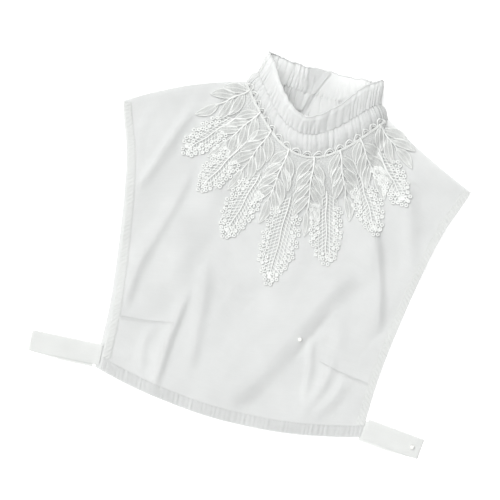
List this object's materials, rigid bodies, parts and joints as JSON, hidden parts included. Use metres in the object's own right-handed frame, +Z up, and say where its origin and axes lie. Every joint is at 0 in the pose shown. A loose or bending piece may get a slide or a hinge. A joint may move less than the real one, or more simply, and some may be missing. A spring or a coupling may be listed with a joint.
{
  "type": "false collar",
  "caption": "False collar laid flat: front and back voile panels, gathered stand collar with a frill, guipure lace yoke with flower tongues, and folded side loops.",
  "frame": {"origin": "on the back panel's flat underside, on the centre line, about halfway between the hem and the shoulder tips", "axes": "+X across the garment, to the right of someone looking down on the laid garment with its collar away from them; +Y from the hem to the collar; +Z up from the surface it lies on"},
  "size_m": [0.414, 0.3724, 0.0505],
  "materials": {
    "voile": "matte",
    "bias_tape": "matte",
    "guipure_lace": "satin",
    "pearl": "gloss"
  },
  "bodies": {
    "root": {"front_panel": "voile", "back_panel": "voile", "neck_stand": "voile", "neck_frill": "voile", "hem_facing": "voile", "closing_tab": "bias_tape", "armhole_binding_left": "bias_tape", "armhole_binding_right": "bias_tape", "side_loop_left": "bias_tape", "side_loop_right": "bias_tape", "lace_yoke": "guipure_lace", "lace_border": "guipure_lace", "lace_tongue_1": "guipure_lace", "lace_tongue_2": "guipure_lace", "lace_tongue_3": "guipure_lace", "lace_tongue_4": "guipure_lace", "lace_tongue_5": "guipure_lace", "lace_tongue_6": "guipure_lace", "lace_tongue_7": "guipure_lace", "leaf_spray_1": "guipure_lace", "leaf_spray_2": "guipure_lace", "leaf_spray_3": "guipure_lace", "leaf_spray_4": "guipure_lace", "leaf_spray_5": "guipure_lace", "leaf_spray_6": "guipure_lace", "leaf_spray_7": "guipure_lace", "leaf_spray_8": "guipure_lace", "front_button": "pearl", "loop_button": "pearl"}
  },
  "joints": []
}
